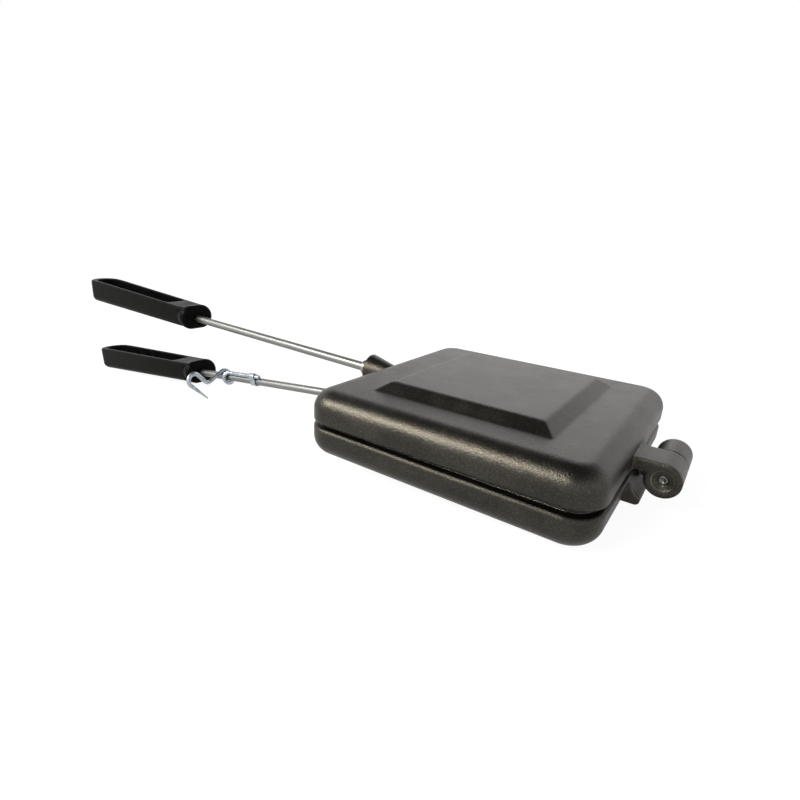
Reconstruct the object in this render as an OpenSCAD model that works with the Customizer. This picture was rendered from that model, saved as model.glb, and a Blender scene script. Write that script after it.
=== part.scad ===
// Pie iron: two cast pans hinged face to face, on steel rods with moulded grips and a wire latch.
// Millimetres, +Z up, table at z = 0, hinge at +X, grips at -X.
// The pieces are drawn with the lower pan's rim level at z = 0. posture() then lays the whole
// iron on the table, where it stands on the lower panel's hinge-side edge and the lower grip.

/* [Pans] */
// Length of each pan, along the rods
pan_l = 132; // [118:1:150]
// Width of each pan
pan_w = 130; // [118:1:150]
// Height of a pan from its rim to its flat face
pan_h = 14.4; // [13:0.2:18]
// Thickness of the walls and floors
wall = 4; // [3:0.1:5]
// Corner radius of the pans in plan
corner_r = 13; // [12:0.5:18]
// Radius between a pan's side and its flat face
edge_r = 9.2; // [7:0.2:10]
// Rounding of the outer edge of each rim
rim_r = 1; // [0.5:0.1:1.5]
// Gap between the two rims, half way along the pans
rim_gap = 2.5; // [2:0.1:3.5]
// Angle by which the closed upper pan leans down towards the grips
seat_angle = 0.4; // [0:0.1:0.6]

/* [Raised panel] */
// Length of the panel at its foot
panel_l = 83; // [70:1:92]
// Width of the panel at its foot
panel_w = 88; // [70:1:92]
// Height of the panel over the flat face
panel_h = 4.2; // [3:0.2:6]
// Slope of the panel's sides in degrees
panel_slope = 35; // [28:1:48]
// Rounding along the panel's top edge
panel_edge_r = 4; // [1:0.5:5]
// Hollow rounding along the panel's foot
panel_foot_r = 2; // [1:0.5:3]

/* [Rim tongue] */
// Height of the tongue over the lower rim
tongue_h = 4; // [3.6:0.2:5]
// Thickness of the tongue
tongue_t = 2.6; // [2:0.1:3]
// Clearance between the tongue and the upper pan's wall
tongue_gap = 0.4; // [0.3:0.05:0.6]
// Clearance over the tongue
tongue_top_gap = 1; // [0.8:0.1:1.5]

/* [Hinge] */
// Distance from the pans' wall to the hinge pin
pin_reach = 11.6; // [10.5:0.2:14]
// Diameter of the hinge pin
pin_d = 4; // [3:0.1:5]
// Diameter of the hinge knuckles
knuckle_d = 14; // [12:0.2:15]
// Length of each knuckle
knuckle_l = 16; // [12:0.5:22]
// Gap between the two knuckles along the pin
knuckle_gap = 0.6; // [0.5:0.1:1]
// Radial clearance of the pin in the upper knuckle
pin_run = 0.05; // [0.03:0.01:0.08]
// Depth of the pin's ends under the knuckles' faces
pin_inset = 0.9; // [0.5:0.1:2]
// Diameter of the shallow recess in the knuckles' faces
recess_d = 8.2; // [6.5:0.1:9.5]
// Depth of that recess
recess_t = 0.6; // [0.3:0.1:0.8]
// Radius of the hollow that the hinge foot leaves round the pin
foot_hollow_r = 12; // [11.8:0.1:12.6]
// Reach of the hinge foot from the wall
foot_reach = 5.6; // [4.5:0.1:6.5]
// Depth of the hinge foot's underside below the lower rim
foot_drop = 12; // [11.6:0.1:12.6]
// Rounding of the hinge foot's lower corner
foot_r = 2; // [1:0.5:3]

/* [Rods] */
// Diameter of the rods
rod_d = 5; // [4:0.1:6]
// Height of each rod from the middle of the rim gap, at the pans' wall
rod_offset = 8.5; // [8:0.1:9.5]
// Angle by which the upper rod rises towards its grip
rise_angle = 1.3; // [0:0.1:3]
// Angle by which the lower rod falls towards its grip
fall_angle = 6.6; // [5.5:0.1:8]
// Length of rod from the pans' wall to the grip
rod_free_l = 168; // [160:1:220]
// Depth of each rod's end in its grip
rod_grip_in = 22; // [15:1:23]
// Depth of each rod's end in its boss
rod_boss_in = 12; // [8:0.5:13]
// Length from the pans' wall of the round bosses that hold the rods
boss_l = 11.5; // [10:0.5:15]
// Diameter of the bosses at the pans' wall
boss_root_d = 12; // [10:0.2:13]
// Diameter of the bosses at their rim
boss_d = 16.6; // [14:0.2:17.2]
// Diameter of the bosses' face
boss_face_d = 14.6; // [12:0.2:15]
// Length of the chamfer between a boss's rim and its face
boss_nose_l = 0.8; // [0.5:0.1:1.5]
// Diameter of the lock nuts
nut_d = 8; // [7.5:0.2:9.5]
// Length of the lock nuts
nut_l = 4; // [2:0.2:5]
// Radial play of a fixed joint: rods and pin in the pieces that hold them
fixed_gap = 0.01; // [0.01:0.01:0.04]

/* [Grips] */
// Length of the grips
grip_l = 135; // [125:1:165]
// Width of a grip at its rod end
grip_w = 20; // [17:0.5:22]
// Width of a grip at its far end
grip_end_w = 22; // [20:0.5:25]
// Height of a grip's top over the rod's axis, at its rod end
grip_top = 8; // [7:0.2:9.4]
// Height of a grip's top over the rod's axis, at its far end
grip_end_top = 10.8; // [9.6:0.2:12]
// Depth of a grip's underside below the rod's axis
grip_low = 6.2; // [5:0.2:7]
// Rounding of the grips' upper edges
grip_top_r = 1.6; // [1:0.2:2.4]
// Rounding of the grips' lower edges
grip_low_r = 4; // [3:0.2:5]
// Width of the collar at a grip's rod end
collar_w = 24.4; // [23:0.2:27]
// Height of that collar
collar_h = 16.6; // [15:0.2:18]
// Height of the collar's middle over the rod's axis
collar_mid = 1.1; // [0.4:0.1:1.6]
// Length of the collar
collar_l = 15; // [10:0.5:20]
// Thickness of the rims on both sides of the open trough in a grip's top
rim_t = 3; // [2:0.1:3.6]
// Distance from a grip's rod end to its trough
trough_start = 26; // [25:0.5:34]
// Distance from the trough to the grip's far end
trough_end = 6.5; // [5:0.5:12]
// Radius of the trough's two corners at its rod end
trough_r = 2.4; // [1.5:0.1:4]
// Thickness of the grip's floor under the trough
trough_floor = 3; // [2:0.2:4]
// Width of the hanging hole in that floor
hole_w = 7; // [5:0.2:7.6]
// Length of the hanging hole
hole_l = 17; // [10:0.5:20]

/* [Latch] */
// Diameter of the latch wire
wire_d = 2.8; // [2:0.1:3.2]
// Clearance between the wire and the rod
wire_gap = 0.3; // [0.25:0.05:0.5]
// Distance from the pans' wall to the plane of the hook
hook_at = 143.5; // [138:0.5:146]
// Length of wire that lies along the rod, from its end to the plane of the hook
shank_l = 40; // [32:0.5:44]
// Direction from the rod to that wire, in degrees round the rod from its top
shank_side = 28; // [20:1:40]
// Length along the rod of the wire's turn round it
wrap_l = 10; // [9.6:0.1:10.6]
// Slope of the hook's first leg in degrees
hook_fall = 26.5; // [22:0.5:30]
// Distance from the rod's axis to the middle of the hook's pocket
hook_reach = 23.8; // [22:0.2:26]
// Height of the pocket's middle over the rod's axis
hook_lift = 2; // [1:0.2:3]
// Bend radius of the hook's pocket
hook_r = 4.4; // [4.1:0.1:4.8]
// Slope of the leg that rises to the pocket, in degrees
hook_rise = 50; // [45:1:55]
// Bend radius of the valley between the hook's two legs
valley_r = 3.4; // [2.8:0.1:4]
// Direction of the hook's tail, in degrees below level
tail_fall = 47; // [42:1:52]
// Angle by which the tail leans towards the pans
tail_lean = 6; // [2:1:12]
// Diameter of the tail's tip
tip_d = 1.1; // [0.8:0.1:1.6]
// Width of the crimped band that holds the wire, along the rod
band_w = 5; // [3:0.5:7]
// Thickness of the band
band_t = 0.8; // [0.6:0.1:1.2]
// Distance from the wire's end to the band
band_in = 3.5; // [2:0.5:6]
// Radial clearance of the band on the rod
band_run = 0.06; // [0.03:0.01:0.08]

/* [Hidden] */
$fn = 96;
hull_fn = 32;
sink = 1; // depth to which joined forms of one casting run into each other

upper = 1;
lower = -1;
pin_x = pan_l / 2 + pin_reach;
pin_z = rim_gap / 2;
rod_r = rod_d / 2;
wire_r = wire_d / 2;
rim_land = wall + tongue_gap + tongue_t;
cavity_edge_r = min(edge_r, corner_r - rim_land + wall) - wall;

// Raised panel, from its foot: middles of its rounded top edge and of the hollow along its foot
slope_run = panel_h / tan(panel_slope);
edge_mid = [-slope_run - panel_edge_r * tan(panel_slope / 2), panel_h - panel_edge_r];
foot_mid = [panel_foot_r * tan(panel_slope / 2), panel_foot_r];

// Points round an arc, from one direction to another
function arc(mid, r, from, to, steps) = [for (i = [0 : steps]) let (a = from + (to - from) * i / steps)
    mid + r * [cos(a), sin(a)]];

// A point on a rod's own axes (u along it from the wall, z over it), as [x, z] in the pans' axes
function rod_angle(side) = side == upper ? rise_angle : -fall_angle;
function rod_point(side, u, z) = [
    -pan_l / 2 - u * cos(rod_angle(side)) + z * sin(rod_angle(side)),
    pin_z + side * rod_offset + u * sin(rod_angle(side)) + z * cos(rod_angle(side)),
];

// Posture: the table touches the rounded edge of the lower panel and that of the lower grip's end
grip_end_u = rod_free_l + grip_l;
grip_end_mid = grip_end_u - grip_end_w / 2;
panel_touch = [panel_l / 2 + edge_mid[0], -(pan_h + edge_mid[1])];
grip_touch = rod_point(lower, grip_end_u - grip_low_r, grip_low_r - grip_low);
touch_span = panel_touch - grip_touch;
tilt = atan2(touch_span[1], touch_span[0]) + asin((grip_low_r - panel_edge_r) / norm(touch_span));
function laid_x(p) = p[0] * cos(tilt) + p[1] * sin(tilt);
function laid_z(p) = -p[0] * sin(tilt) + p[1] * cos(tilt);
table_z = laid_z(panel_touch) - panel_edge_r;
far_x = min([for (side = [lower, upper])
    laid_x(rod_point(side, grip_end_u - grip_top_r, grip_end_top - grip_top_r)) - grip_top_r]);
near_x = laid_x([pin_x, pin_z]) + knuckle_d / 2;
mid_x = (far_x + near_x) / 2;

module posture() {
    translate([-mid_x, 0, -table_z]) rotate([0, tilt, 0]) children();
}

// Rod axes: +X out along the rod towards the grip, +Z over it, origin at the pans' wall
module along_rod(side) {
    translate([-pan_l / 2, 0, pin_z + side * rod_offset])
        rotate([0, 0, 180]) rotate([0, -rod_angle(side), 0]) children();
}

// Cylinder along +X from x = start
module bar(d, start, length) {
    translate([start, 0, 0]) rotate([0, 90, 0]) cylinder(d = d, h = length);
}

// Cylinder along Y round the hinge pin's axis, from y0 to y1
module round_pin(d, y0, y1) {
    translate([pin_x, y1, pin_z]) rotate([90, 0, 0]) cylinder(d = d, h = y1 - y0);
}

module rounded_rect(l, w, r) {
    square([l - 2 * r, w], center = true);
    square([l, w - 2 * r], center = true);
    for (x = [-1, 1], y = [-1, 1]) {
        translate([x * (l / 2 - r), y * (w / 2 - r)]) circle(r);
    }
}

module stadium(l, w) {
    square([l - w, w], center = true);
    for (x = [-1, 1]) {
        translate([x * (l - w) / 2, 0]) circle(d = w);
    }
}

// Carries a half profile round a rectangle with corners of radius r, over a block z0 to z1 high
module carry_round(l, w, r, z0, z1) {
    in_x = l / 2 - r;
    in_y = w / 2 - r;
    for (turn = [0 : 3]) {
        out_x = turn % 2 == 0 ? in_x : in_y;
        out_y = turn % 2 == 0 ? in_y : in_x;
        rotate(turn * 90) translate([out_x, out_y, 0]) {
            rotate_extrude(angle = 90) children();
            rotate([90, 0, 0]) linear_extrude(2 * out_y) children();
        }
    }
    translate([-in_x, -in_y, z0]) cube([2 * in_x, 2 * in_y, z1 - z0]);
}

// Half profile of a pan's block: side, rounded edge at the top and rounded rim at z = 0
module block_profile(r, h, top_r, foot_r) {
    intersection() {
        union() {
            translate([0, foot_r]) square([r, h - top_r - foot_r]);
            square([r - foot_r, h - top_r]);
            square([r - top_r, h]);
            translate([r - top_r, h - top_r]) circle(top_r);
            translate([r - foot_r, foot_r]) circle(foot_r);
        }
        square([r, h]);
    }
}

// Half profile of a panel of this length: flat, rounded edge, slope and hollow foot, sunk below z = 0
module panel_profile(length) {
    translate([length / 2, 0]) polygon(concat(
        [[-length / 2, -sink], [foot_mid[0], -sink]],
        arc(foot_mid, panel_foot_r, 270, 270 - panel_slope, 4),
        arc(edge_mid, panel_edge_r, 90 - panel_slope, 90, 8),
        [[-length / 2, panel_h]]));
}

// The profile drawn out over the panel's whole length, along X
module panel_ridge(length, width) {
    rotate([90, 0, 0]) linear_extrude(width + 4 * panel_foot_r, center = true) {
        panel_profile(length);
        mirror([1, 0]) panel_profile(length);
    }
}

// Two ridges that cross, so that the panel's slopes meet in straight hips
module panel_form() {
    intersection() {
        panel_ridge(panel_l, panel_w);
        rotate(90) panel_ridge(panel_w, panel_l);
    }
}

// One pan with its rim at z = 0 and its panel on top, hollow from below
module pan() {
    hollow_l = pan_l - 2 * rim_land;
    hollow_w = pan_w - 2 * rim_land;
    hollow_r = corner_r - rim_land;
    difference() {
        union() {
            carry_round(pan_l, pan_w, corner_r, 0, pan_h)
                block_profile(corner_r, pan_h, edge_r, rim_r);
            translate([0, 0, pan_h]) panel_form();
        }
        carry_round(hollow_l, hollow_w, hollow_r, 0, pan_h - wall)
            block_profile(hollow_r, pan_h - wall, cavity_edge_r, 0);
        translate([0, 0, -sink]) linear_extrude(2 * sink) rounded_rect(hollow_l, hollow_w, hollow_r);
        translate([0, 0, pan_h - wall]) panel_form();
    }
}

// Tongue that stands on the lower rim, inside the upper pan's wall
module tongue() {
    inset = wall + tongue_gap;
    translate([0, 0, -sink]) linear_extrude(tongue_h + sink) difference() {
        rounded_rect(pan_l - 2 * inset, pan_w - 2 * inset, corner_r - inset);
        rounded_rect(pan_l - 2 * rim_land, pan_w - 2 * rim_land, corner_r - rim_land);
    }
}

module tongue_groove() {
    translate([0, 0, -sink]) linear_extrude(tongue_h - rim_gap + tongue_top_gap + sink)
        rounded_rect(pan_l - 2 * wall, pan_w - 2 * wall, corner_r - wall);
}

// Boss in rod axes: a cone that starts inside the pan's wall, and a chamfer at its rim
module boss() {
    cover = 1.5; // metal between the cone's start and the pan's hollow
    root = rim_land - cover;
    barrel_l = boss_l - boss_nose_l;
    taper = (boss_d - boss_root_d) / barrel_l;
    translate([-root, 0, 0]) rotate([0, 90, 0])
        cylinder(d1 = boss_root_d - taper * root, d2 = boss_d, h = root + barrel_l);
    translate([barrel_l, 0, 0]) rotate([0, 90, 0])
        cylinder(d1 = boss_d, d2 = boss_face_d, h = boss_nose_l);
}

module boss_bore() {
    bar(rod_d + 2 * fixed_gap, boss_l - rod_boss_in, rod_boss_in + sink);
}

// Everything on one side of a level, wide enough for the bosses
module half_space(z, side) {
    size = 4 * boss_l + 4 * boss_d;
    translate([-pan_l / 2, 0, z + side * size / 2]) cube(size, center = true);
}

// Hinge foot from x = start: a block with a rounded lower corner
module foot_form(start) {
    reach = pan_l / 2 + foot_reach - start;
    translate([start, 0, -foot_drop]) rotate([90, 0, 0]) linear_extrude(2 * knuckle_l, center = true) {
        square([reach - foot_r, foot_drop - rim_r]);
        translate([0, foot_r]) square([reach, foot_drop - rim_r - foot_r]);
        translate([reach - foot_r, foot_r]) circle(foot_r);
    }
}

module lower_plate() color([0.25, 0.24, 0.23]) {
    foot_in = pan_l / 2 - wall + 1;
    difference() {
        union() {
            mirror([0, 0, 1]) pan();
            tongue();
            // Hinge foot across both knuckles, hollowed round the pin
            difference() {
                foot_form(foot_in);
                round_pin(2 * foot_hollow_r, -knuckle_l - sink, knuckle_l + sink);
            }
            // Web and knuckle on the far side
            translate([foot_in, knuckle_gap / 2, pin_z - knuckle_d / 2])
                cube([pin_x - foot_in, knuckle_l - knuckle_gap / 2, knuckle_d / 2 - pin_z - rim_r]);
            round_pin(knuckle_d, knuckle_gap / 2, knuckle_l);
            difference() {
                along_rod(lower) boss();
                half_space(0, upper);
            }
        }
        round_pin(pin_d + 2 * fixed_gap, 0, knuckle_l + sink);
        round_pin(recess_d, knuckle_l - recess_t, knuckle_l + sink);
        along_rod(lower) boss_bore();
    }
}

module upper_plate() color([0.27, 0.26, 0.25]) {
    lug_in = pan_l / 2 - wall + 1;
    lug_z = rim_gap + pan_l / 2 * sin(seat_angle) + rim_r / 2;
    difference() {
        union() {
            translate([0, 0, rim_gap]) rotate([0, -seat_angle, 0]) difference() {
                pan();
                tongue_groove();
            }
            // Lug and knuckle on the near side
            translate([lug_in, -knuckle_l, lug_z])
                cube([pin_x - lug_in, knuckle_l - knuckle_gap / 2, pin_z + knuckle_d / 2 - lug_z]);
            round_pin(knuckle_d, -knuckle_l, -knuckle_gap / 2);
            difference() {
                along_rod(upper) boss();
                half_space(rim_gap, lower);
            }
        }
        round_pin(pin_d + 2 * pin_run, -knuckle_l - sink, 0);
        round_pin(recess_d, -knuckle_l - sink, -knuckle_l + recess_t);
        along_rod(upper) boss_bore();
    }
}

module hinge_pin() color([0.75, 0.75, 0.74]) {
    round_pin(pin_d, -knuckle_l + pin_inset, knuckle_l - pin_inset);
}

module rod(side) color([0.70, 0.70, 0.69]) {
    start = boss_l - rod_boss_in;
    along_rod(side) bar(rod_d, start, rod_free_l + rod_grip_in - start);
}

module rod_nut(side) color([0.42, 0.41, 0.40]) {
    along_rod(side) difference() {
        bar(nut_d, boss_l, nut_l);
        bar(rod_d + 2 * fixed_gap, boss_l - sink, nut_l + 2 * sink);
    }
}

// Thin upright slice of the grip's collar, at u along the rod
module collar_slice(u, w, h) {
    slice_t = 0.1;
    translate([u, 0, collar_mid]) rotate([90, 0, 90]) linear_extrude(slice_t) stadium(w, h);
}

module grip(side) color([0.12, 0.12, 0.12]) {
    collar_round = 1.2; // chamfer round the collar's face
    collar_flat = 2.4; // length of the collar's straight part
    collar_tuck = 2; // depth to which the collar's end lies inside the grip
    socket_gap = 1.5; // width of the shallow socket round the rod
    trough_z = trough_floor - grip_low;
    far_r = grip_end_w / 2 - rim_t;
    far_mid = grip_end_u - trough_end - far_r;
    corner_mid = [rod_free_l + trough_start + trough_r, grip_w / 2 - rim_t - trough_r];
    hole_mid = far_mid + hole_w / 2 - hole_l / 2;
    along_rod(side) difference() {
        union() {
            hull() {
                $fn = hull_fn;
                for (y = [-1, 1]) {
                    translate([rod_free_l + grip_low_r, y * (grip_w / 2 - grip_top_r), grip_top - grip_top_r])
                        sphere(grip_top_r);
                    translate([rod_free_l + grip_low_r, y * (grip_w / 2 - grip_low_r), grip_low_r - grip_low])
                        sphere(grip_low_r);
                }
                translate([grip_end_mid, 0, grip_end_top - grip_top_r])
                    rotate_extrude() translate([grip_end_w / 2 - grip_top_r, 0]) circle(grip_top_r);
                translate([grip_end_mid, 0, grip_low_r - grip_low])
                    rotate_extrude() translate([grip_end_w / 2 - grip_low_r, 0]) circle(grip_low_r);
            }
            hull() {
                $fn = hull_fn;
                collar_slice(rod_free_l, collar_w - 2 * collar_round, collar_h - 2 * collar_round);
                collar_slice(rod_free_l + collar_round, collar_w, collar_h);
                collar_slice(rod_free_l + collar_round + collar_flat, collar_w, collar_h);
                collar_slice(rod_free_l + collar_l, grip_w - 2 * collar_tuck,
                    grip_top + grip_low - 2 * collar_tuck);
            }
        }
        bar(rod_d + 2 * fixed_gap, rod_free_l - sink, rod_grip_in + sink);
        bar(rod_d + 2 * socket_gap, rod_free_l - sink, sink + collar_round);
        translate([0, 0, trough_z]) linear_extrude(2 * collar_h) hull() {
            translate([far_mid, 0]) circle(far_r);
            translate(corner_mid) circle(trough_r);
            mirror([0, 1]) translate(corner_mid) circle(trough_r);
        }
        translate([hole_mid, 0, -2 * grip_low]) linear_extrude(3 * grip_low) stadium(hole_l, hole_w);
    }
}

// Latch, in the lower rod's axes: x along the rod, y towards the hook, z over the rod
wire_at = rod_r + wire_gap + wire_r; // distance from the rod's axis to the wire's
function on_wrap(p) = [p[1], wire_at * sin(p[0]), wire_at * cos(p[0])];
function bend(a, b, c, steps) = [for (i = [1 : steps]) let (t = i / steps)
    (1 - t) * (1 - t) * a + 2 * t * (1 - t) * b + t * t * c];
function in_hook_plane(points) = [for (p = points) [hook_at, p[0], p[1]]];

// The wire on the rod's surface, as [degrees round the rod from its top, distance along it]
function on_turn(angle, share) = [angle, hook_at - share * wrap_l];
turn_start = on_turn(shank_side, 1);
turn_near = on_turn(106, 0.58);
turn_far = on_turn(262, 0.36);
wrap = concat(
    [[shank_side, hook_at - shank_l], turn_start],
    bend(turn_start, on_turn(shank_side, 0.48), turn_near, 8),
    bend(turn_near, on_turn(185, 0.72), turn_far, 12),
    bend(turn_far, on_turn(318, 0.09), on_turn(360, 0), 8),
    [[360 + hook_fall, hook_at]]);

// The hook in its own plane, as [y, z]: a leg down, the valley, a leg up and round the pocket
pocket = [hook_reach, hook_lift];
leg_start = wire_at * [sin(hook_fall), cos(hook_fall)];
rise_end = pocket + hook_r * [-sin(hook_rise), cos(hook_rise)];
// Middle of the valley's bend, valley_r above both legs
fall_up = [sin(hook_fall), cos(hook_fall)];
rise_up = [-sin(hook_rise), cos(hook_rise)];
fall_off = leg_start * fall_up + valley_r;
rise_off = rise_end * rise_up + valley_r;
legs_det = fall_up[0] * rise_up[1] - fall_up[1] * rise_up[0];
valley = [fall_off * rise_up[1] - rise_off * fall_up[1], rise_off * fall_up[0] - fall_off * rise_up[0]] / legs_det;
hook = in_hook_plane(concat(
    arc(valley, valley_r, 270 - hook_fall, 270 + hook_rise, 6),
    arc(pocket, hook_r, 90 + hook_rise, tail_fall - 90, 12)));

// The tail runs straight down to the table, and its tip stands there
tail_start = hook[len(hook) - 1];
tail_dir = [-sin(tail_lean), -cos(tail_lean) * cos(tail_fall), -cos(tail_lean) * sin(tail_fall)];
tip_gap = 0.2;
start_height = laid_z(rod_point(lower, tail_start[0], tail_start[2])) - table_z;
tail_drop = laid_z(rod_point(lower, 0, 0)) - laid_z(rod_point(lower, tail_dir[0], tail_dir[2]));
tail_l = (start_height - tip_d / 2 - tip_gap) / tail_drop;
wire_path = concat([for (p = wrap) on_wrap(p)], hook,
    [for (i = [1 : 4]) tail_start + tail_dir * tail_l * i / 4]);
wire_radii = [for (i = [0 : len(wire_path) - 1]) let (left = len(wire_path) - 1 - i)
    left < 4 ? (left * wire_d + (4 - left) * tip_d) / 8 : wire_r];

// Least gap of the wire to itself, between points more than two bends apart
far_apart = 3 * wire_d;
function run_length(path, i) = i == 0 ? 0 : norm(path[i] - path[i - 1]) + run_length(path, i - 1);
wire_runs = [for (i = [0 : len(wire_path) - 1]) run_length(wire_path, i)];
wire_self_gap = min([for (i = [0 : len(wire_path) - 1], j = [i + 1 : 1 : len(wire_path) - 1])
    if (wire_runs[j] - wire_runs[i] > far_apart) norm(wire_path[i] - wire_path[j]) - wire_d]);
echo(wire_self_gap = wire_self_gap);

// A round tube along a path: each ring is turned as little as can be from the one before it
function unit(v) = v / norm(v);
function heading(path, i) = unit(path[min(i + 1, len(path) - 1)] - path[max(i - 1, 0)]);
function square_to(v, along) = unit(v - (v * along) * along);
function ring_normals(path, start) = [
    for (i = 0, n = square_to(start, heading(path, 0)); i < len(path);
         i = i + 1, n = i < len(path) ? square_to(n, heading(path, i)) : n) n];

module tube(path, radii, sides) {
    normals = ring_normals(path, [0, 0, 1]);
    points = [for (i = [0 : len(path) - 1], k = [0 : sides - 1])
        let (n = normals[i], m = cross(heading(path, i), n), a = 360 * k / sides)
        path[i] + radii[i] * (cos(a) * n + sin(a) * m)];
    last = (len(path) - 1) * sides;
    walls = [for (i = [0 : len(path) - 2], k = [0 : sides - 1], half = [0, 1])
        let (a = i * sides + k, b = i * sides + (k + 1) % sides)
        half == 0 ? [a, a + sides, b] : [b, a + sides, b + sides]];
    caps = [for (k = [1 : sides - 2], end = [0, 1])
        end == 0 ? [0, k, k + 1] : [last, last + k + 1, last + k]];
    polyhedron(points = points, faces = concat(walls, caps), convexity = 6);
}

module latch_wire() color([0.72, 0.75, 0.80]) {
    along_rod(lower) tube(wire_path, wire_radii, 10);
}

module latch_band() color([0.66, 0.69, 0.73]) {
    wire_side = [0, wire_at * sin(shank_side), wire_at * cos(shank_side)];
    start = hook_at - shank_l + band_in;
    along_rod(lower) difference() {
        hull() {
            $fn = hull_fn;
            bar(rod_d + 2 * (band_run + band_t), start, band_w);
            translate(wire_side) bar(wire_d + 2 * band_t, start, band_w);
        }
        bar(rod_d + 2 * band_run, start - sink, band_w + 2 * sink);
        translate(wire_side) bar(wire_d + 2 * fixed_gap, start - sink, band_w + 2 * sink);
    }
}

posture() lower_plate();
posture() upper_plate();
posture() hinge_pin();
posture() rod(lower);  // lower_rod
posture() rod(upper);  // upper_rod
posture() rod_nut(lower);  // lower_rod_nut
posture() rod_nut(upper);  // upper_rod_nut
posture() grip(lower);  // lower_grip
posture() grip(upper);  // upper_grip
posture() latch_wire();
posture() latch_band();
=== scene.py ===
import math

import bpy
import numpy as np
from mathutils import Matrix, Vector


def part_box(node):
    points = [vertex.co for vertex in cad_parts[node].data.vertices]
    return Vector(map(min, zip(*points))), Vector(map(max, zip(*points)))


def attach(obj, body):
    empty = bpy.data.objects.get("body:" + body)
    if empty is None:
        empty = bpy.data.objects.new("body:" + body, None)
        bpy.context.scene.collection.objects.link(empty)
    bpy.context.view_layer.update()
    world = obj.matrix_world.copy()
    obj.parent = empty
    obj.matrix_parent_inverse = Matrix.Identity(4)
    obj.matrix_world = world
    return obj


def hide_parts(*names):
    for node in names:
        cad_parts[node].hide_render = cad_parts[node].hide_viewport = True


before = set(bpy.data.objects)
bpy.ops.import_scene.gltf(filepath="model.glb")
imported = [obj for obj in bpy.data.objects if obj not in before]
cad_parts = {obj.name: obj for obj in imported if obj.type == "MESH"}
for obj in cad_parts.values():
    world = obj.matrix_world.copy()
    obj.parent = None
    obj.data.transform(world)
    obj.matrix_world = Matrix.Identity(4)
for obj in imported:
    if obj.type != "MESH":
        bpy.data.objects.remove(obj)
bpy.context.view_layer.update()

mm = 0.001


def rodAxes(nodeName, rodInGrip):
    # Axes of a rod, from its own mesh: the middle of each end gives its line. The origin is the
    # point of that line where the grip starts, "out" runs along it to the grip's far end,
    # "side" points to -Y and "over" is square to both, upwards.
    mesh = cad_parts[nodeName].data
    points = np.zeros(len(mesh.vertices) * 3)
    mesh.vertices.foreach_get("co", points)
    points = np.unique(points.reshape(-1, 3).round(7), axis=0)
    along = points @ np.array([-1.0, 0.0, 0.0])
    middle = (along.min() + along.max()) / 2
    farEnd = points[along > middle].mean(0)
    nearEnd = points[along < middle].mean(0)
    out = (farEnd - nearEnd) / np.linalg.norm(farEnd - nearEnd)
    side = np.array([0.0, -1.0, 0.0])
    return {"origin": farEnd - out * rodInGrip, "out": out, "side": side, "over": np.cross(out, side)}


def placed(axes, points):
    # Points in a rod's axes (out, side, over) taken to the frame's axes
    return (axes["origin"] + points[..., :1] * axes["out"]
            + points[..., 1:2] * axes["side"] + points[..., 2:3] * axes["over"])


def gridFaces(rows, columns, closedRows, closedColumns):
    # Quads between neighbouring rows and columns, joined round where a direction is closed
    i = np.arange(rows if closedRows else rows - 1)[:, None]
    j = np.arange(columns if closedColumns else columns - 1)[None, :]
    nextI = (i + 1) % rows
    nextJ = (j + 1) % columns
    corners = [i * columns + j, i * columns + nextJ, nextI * columns + nextJ, nextI * columns + j]
    return np.stack([np.broadcast_to(c, np.broadcast(i, j).shape) for c in corners], -1).reshape(-1, 4)


def signedVolume(points, faces):
    # Six times the volume inside the faces, positive where they point outwards
    a, b, c = (points[faces[:, k]] for k in range(3))
    total = np.einsum("ij,ij->", a, np.cross(b, c))
    if faces.shape[1] == 4:
        d = points[faces[:, 3]]
        total += np.einsum("ij,ij->", a, np.cross(c, d))
    return total


def meshPiece(name, grid, closedRows, closedColumns, sharpAngle=50):
    # One closed mesh from a grid of points (rows x columns x 3). Where the rows are open, the
    # first and the last row are closed by a fan to their middle.
    rows, columns = grid.shape[:2]
    points = grid.reshape(-1, 3)
    faces = gridFaces(rows, columns, closedRows, closedColumns)
    fans = np.zeros((0, 3), int)
    if not closedRows:
        ring = np.arange(columns)
        nextRing = (ring + 1) % columns
        last = (rows - 1) * columns
        firstPole, lastPole = len(points), len(points) + 1
        points = np.vstack([points, grid[0].mean(0), grid[-1].mean(0)])
        fans = np.vstack([
            np.stack([nextRing, ring, np.full(columns, firstPole)], -1),
            np.stack([last + ring, last + nextRing, np.full(columns, lastPole)], -1)])
    volume = signedVolume(points, faces) + (signedVolume(points, fans) if len(fans) else 0)
    if volume < 0:
        faces = faces[:, ::-1]
        fans = fans[:, ::-1]
    mesh = bpy.data.meshes.new(name)
    mesh.from_pydata(points.tolist(), [], faces.tolist() + fans.tolist())
    mesh.validate()
    mesh.shade_smooth()
    mesh.set_sharp_from_angle(angle=math.radians(sharpAngle))
    piece = bpy.data.objects.new(name, mesh)
    bpy.context.scene.collection.objects.link(piece)
    return piece


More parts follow.
